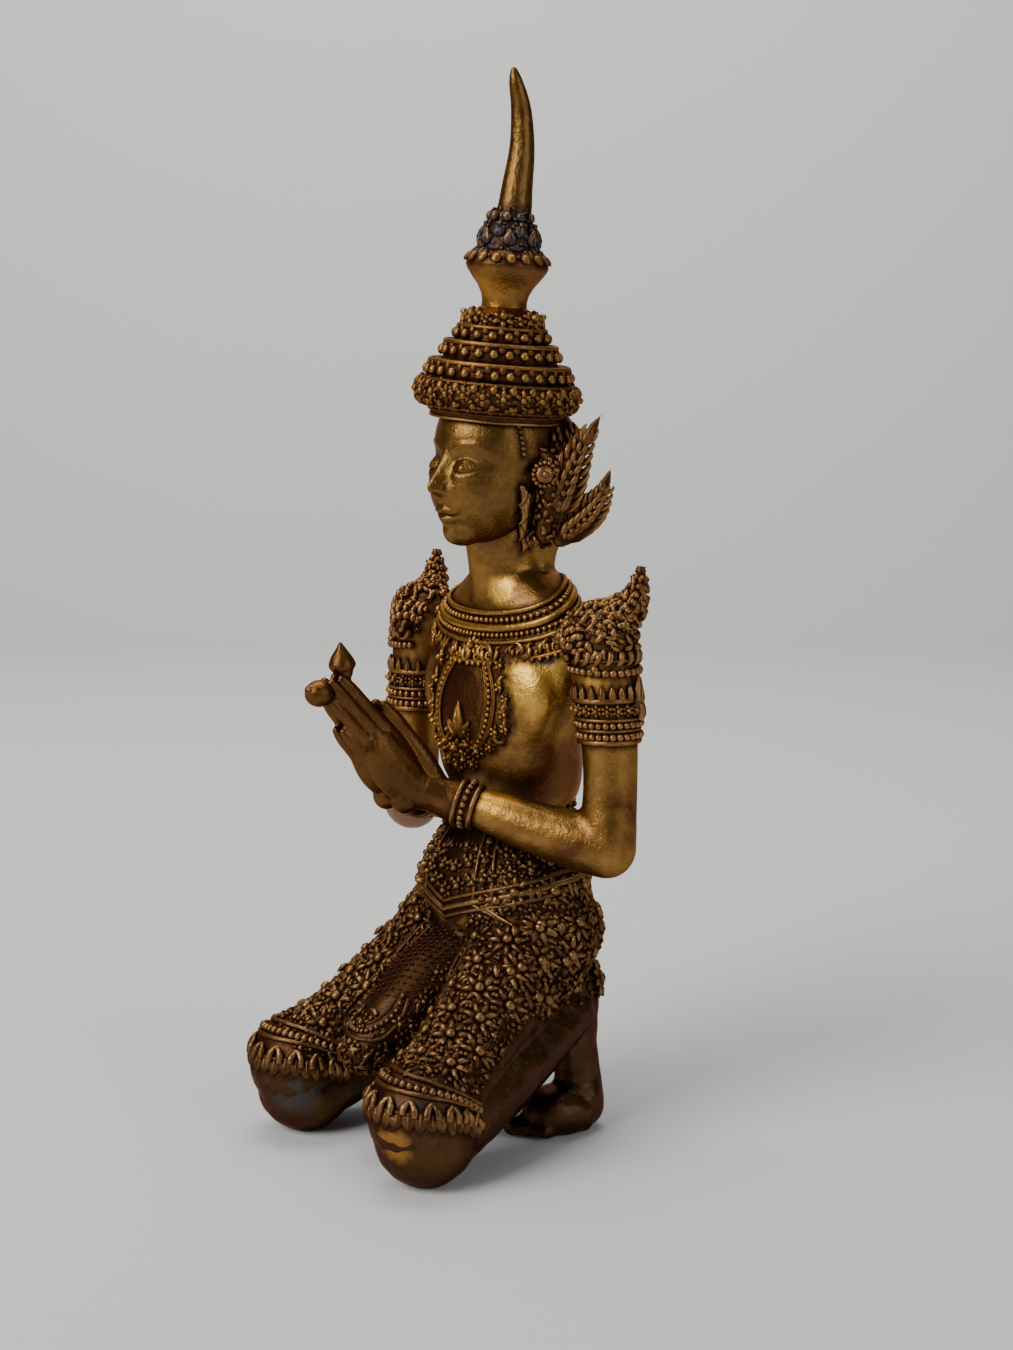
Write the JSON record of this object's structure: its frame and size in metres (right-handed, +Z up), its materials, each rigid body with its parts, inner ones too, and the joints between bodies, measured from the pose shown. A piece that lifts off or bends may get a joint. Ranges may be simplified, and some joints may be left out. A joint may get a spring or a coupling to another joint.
{
  "type": "kneeling statue",
  "caption": "Cast bronze figure kneeling on its heels in a tall crown and court dress, palms joined before the chest around lotus buds.",
  "frame": {"origin": "middle of the bounding box's underside, on the plane that the knees and toes stand on", "axes": "+Z up the figure, -Y the way it faces, +X its left"},
  "size_m": [0.1088, 0.092, 0.3],
  "materials": {
    "gilt_bronze": "worn gilding on cast bronze, dark red-brown in the recesses"
  },
  "bodies": {
    "root": {"kneeling_statue": "gilt_bronze"}
  },
  "joints": []
}
